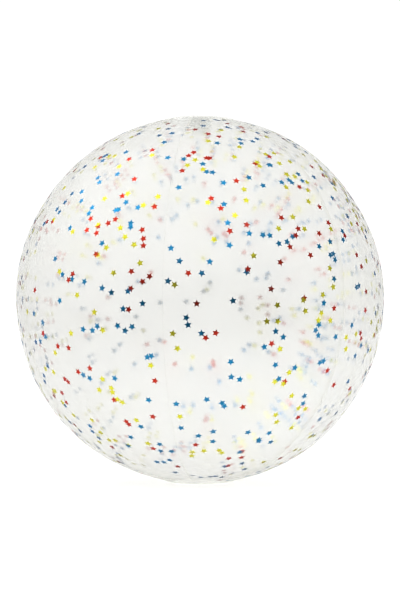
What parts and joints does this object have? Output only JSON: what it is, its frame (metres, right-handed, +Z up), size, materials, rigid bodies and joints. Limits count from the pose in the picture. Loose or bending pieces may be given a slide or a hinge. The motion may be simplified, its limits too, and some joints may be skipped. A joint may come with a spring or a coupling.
{
  "type": "inflatable beach ball",
  "caption": "Round inflatable beach ball of clear welded film with loose metallic star confetti inside and a push-in valve with a tethered plug.",
  "frame": {"origin": "centre of the flat resting face of the lower pole patch, on the polar axis", "axes": "+Z up along the polar axis, from the closed pole to the valve; +Y away from the viewer of the main side; +X to that viewer's right"},
  "size_m": [0.3494, 0.3494, 0.3491],
  "materials": {
    "clear_film": "clear, slightly milky, glossy vinyl film",
    "valve_vinyl": "soft translucent vinyl moulding",
    "foil_blue": "blue metallised foil",
    "foil_red": "red metallised foil",
    "foil_gold": "gold metallised foil"
  },
  "bodies": {
    "ball": {"gore_panel_1": "clear_film", "gore_panel_2": "clear_film", "gore_panel_3": "clear_film", "gore_panel_4": "clear_film", "gore_panel_5": "clear_film", "gore_panel_6": "clear_film", "pole_patch_bottom": "clear_film", "pole_patch_top": "clear_film", "star_blue_01": "foil_blue", "star_blue_02": "foil_blue", "star_blue_03": "foil_blue", "star_blue_04": "foil_blue", "star_blue_05": "foil_blue", "star_blue_06": "foil_blue", "star_blue_07": "foil_blue", "star_blue_08": "foil_blue", "star_blue_09": "foil_blue", "star_blue_10": "foil_blue", "star_blue_11": "foil_blue", "star_blue_12": "foil_blue", "star_blue_13": "foil_blue", "star_blue_14": "foil_blue", "star_blue_15": "foil_blue", "star_gold_01": "foil_gold", "star_gold_02": "foil_gold", "star_gold_03": "foil_gold", "star_gold_04": "foil_gold", "star_gold_05": "foil_gold", "star_gold_06": "foil_gold", "star_gold_07": "foil_gold", "star_gold_08": "foil_gold", "star_gold_09": "foil_gold", "star_gold_10": "foil_gold", "star_gold_11": "foil_gold", "star_gold_12": "foil_gold", "star_gold_13": "foil_gold", "star_gold_14": "foil_gold", "star_gold_15": "foil_gold", "star_red_01": "foil_red", "star_red_02": "foil_red", "star_red_03": "foil_red", "star_red_04": "foil_red", "star_red_05": "foil_red", "star_red_06": "foil_red", "star_red_07": "foil_red", "star_red_08": "foil_red", "star_red_09": "foil_red", "star_red_10": "foil_red", "star_red_11": "foil_red", "star_red_12": "foil_red", "star_red_13": "foil_red", "star_red_14": "foil_red", "star_red_15": "foil_red", "valve_collar": "valve_vinyl", "valve_flange": "valve_vinyl"},
    "stem": {"valve_stem": "valve_vinyl", "tether_ring": "valve_vinyl"},
    "plug": {"plug": "valve_vinyl"},
    "flap": {"check_flap": "valve_vinyl"}
  },
  "joints": [
    {"name": "valve_push", "type": "slide", "parent": "ball", "child": "stem", "axis": [0, 0, 1], "range_m": [0, 0.014], "deforming": ["valve_collar"]},
    {"name": "plug_swing", "type": "hinge", "parent": "stem", "child": "plug", "pos_m": [-0.0094, 0, 0.34842], "axis": [0, -1, 0], "range_deg": [0, 130]},
    {"name": "flap_swing", "type": "hinge", "parent": "stem", "child": "flap", "pos_m": [-0.0056, 0, 0.33192], "axis": [0, 1, 0], "range_deg": [0, 70], "stiffness_Nm_per_rad": 0.0001, "springref_deg": -11.46}
  ]
}
